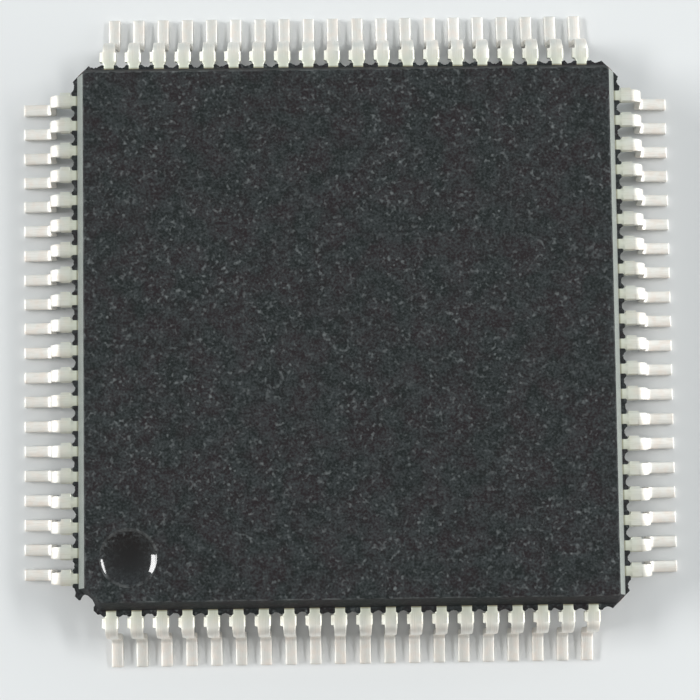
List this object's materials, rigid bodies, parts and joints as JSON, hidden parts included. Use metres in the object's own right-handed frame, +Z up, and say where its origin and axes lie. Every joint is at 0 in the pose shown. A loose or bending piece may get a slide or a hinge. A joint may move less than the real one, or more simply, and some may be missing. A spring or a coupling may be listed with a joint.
{
  "type": "quad flat pack chip",
  "caption": "Square moulded integrated circuit with a row of gull-wing leads on each side, an index dimple and a cut index corner.",
  "frame": {"origin": "centre of the seating plane that the undersides of the feet lie in, under the middle of the body", "axes": "+Z up out of the top face; +X along the front row from lead 1 to the last lead of that row; +Y from the front row to the back row"},
  "size_m": [0.0172, 0.0172, 0.0023],
  "materials": {
    "moulding_compound": "fine spark-eroded grain, matte",
    "tinned_leads": "matte tin plate, satin",
    "lead_frame_copper": "bare stamped copper alloy, satin",
    "die_adhesive": "cured silver-filled adhesive, satin",
    "silicon": "polished and patterned wafer",
    "gold_wire": "drawn fine gold wire, bright"
  },
  "bodies": {
    "root": {"moulded_body": "moulding_compound", "die_paddle": "lead_frame_copper", "die_attach": "die_adhesive", "silicon_die": "silicon", "front_leads_1": "tinned_leads", "front_leads_2": "tinned_leads", "front_leads_3": "tinned_leads", "front_leads_4": "tinned_leads", "right_leads_1": "tinned_leads", "right_leads_2": "tinned_leads", "right_leads_3": "tinned_leads", "right_leads_4": "tinned_leads", "back_leads_1": "tinned_leads", "back_leads_2": "tinned_leads", "back_leads_3": "tinned_leads", "back_leads_4": "tinned_leads", "left_leads_1": "tinned_leads", "left_leads_2": "tinned_leads", "left_leads_3": "tinned_leads", "left_leads_4": "tinned_leads", "front_wires_1": "gold_wire", "front_wires_2": "gold_wire", "front_wires_3": "gold_wire", "front_wires_4": "gold_wire", "right_wires_1": "gold_wire", "right_wires_2": "gold_wire", "right_wires_3": "gold_wire", "right_wires_4": "gold_wire", "back_wires_1": "gold_wire", "back_wires_2": "gold_wire", "back_wires_3": "gold_wire", "back_wires_4": "gold_wire", "left_wires_1": "gold_wire", "left_wires_2": "gold_wire", "left_wires_3": "gold_wire", "left_wires_4": "gold_wire"}
  },
  "joints": []
}
